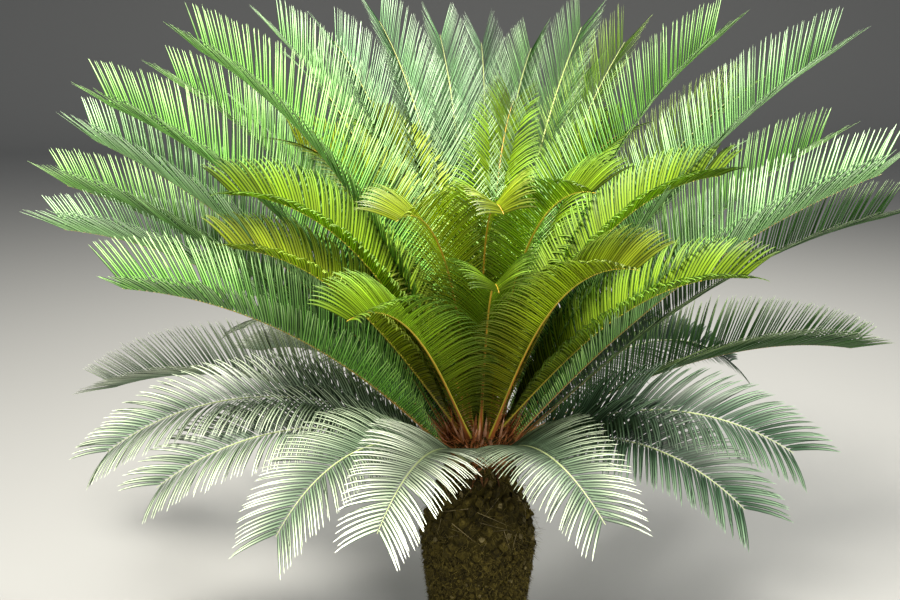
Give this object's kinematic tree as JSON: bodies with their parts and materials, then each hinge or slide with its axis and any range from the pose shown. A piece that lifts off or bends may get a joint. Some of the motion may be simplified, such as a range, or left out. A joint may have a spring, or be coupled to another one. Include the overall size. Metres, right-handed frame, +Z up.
{
  "type": "sago palm",
  "caption": "Sago palm with a stout scaly trunk and a wide crown of arching, comb-like fronds round a bright upright flush of young leaves.",
  "frame": {"origin": "middle of the trunk's flat cut at ground level", "axes": "+Z up along the trunk; -Y towards the viewer of the picture; +X to that viewer's right"},
  "size_m": [2.3539, 2.0426, 1.6649],
  "materials": {
    "bark": "rough, fibrous",
    "bud_wool": "woolly",
    "young_leaf": "soft gloss",
    "old_leaf": "waxy gloss",
    "hanging_leaf": "waxy, greyish"
  },
  "bodies": {
    "root": {"trunk": "bark", "crown_bud": "bud_wool", "young_front_01": "young_leaf", "young_front_02": "young_leaf", "young_front_03": "young_leaf", "young_front_04": "young_leaf", "young_front_05": "young_leaf", "young_middle_01": "young_leaf", "young_middle_02": "young_leaf", "young_middle_03": "young_leaf", "young_middle_04": "young_leaf", "young_middle_05": "young_leaf", "young_back_01": "young_leaf", "young_back_02": "young_leaf", "young_back_03": "young_leaf", "young_back_04": "young_leaf", "young_back_05": "young_leaf", "crest_01": "old_leaf", "crest_02": "old_leaf", "crest_03": "old_leaf", "crest_04": "old_leaf", "crest_05": "old_leaf", "crest_06": "old_leaf", "crest_07": "old_leaf", "crest_08": "old_leaf", "crest_09": "old_leaf", "plume_01": "old_leaf", "plume_02": "old_leaf", "shoulder_01": "old_leaf", "shoulder_02": "old_leaf", "shoulder_03": "old_leaf", "shoulder_04": "old_leaf", "shoulder_05": "old_leaf", "shoulder_06": "old_leaf", "shoulder_07": "old_leaf", "wing_01": "old_leaf", "wing_02": "old_leaf", "wing_03": "old_leaf", "wing_06": "old_leaf", "wing_07": "old_leaf", "spread_01": "old_leaf", "spread_02": "old_leaf", "spread_03": "old_leaf", "spread_04": "old_leaf", "spread_05": "old_leaf", "spread_06": "old_leaf", "skirt_01": "old_leaf", "skirt_02": "old_leaf", "skirt_03": "old_leaf", "skirt_04": "old_leaf", "skirt_05": "old_leaf", "hanging_01": "hanging_leaf", "hanging_02": "hanging_leaf", "hanging_03": "hanging_leaf", "hanging_04": "hanging_leaf", "hanging_05": "hanging_leaf", "hanging_06": "hanging_leaf", "hanging_07": "hanging_leaf", "hanging_08": "hanging_leaf", "hanging_09": "hanging_leaf"}
  },
  "joints": []
}
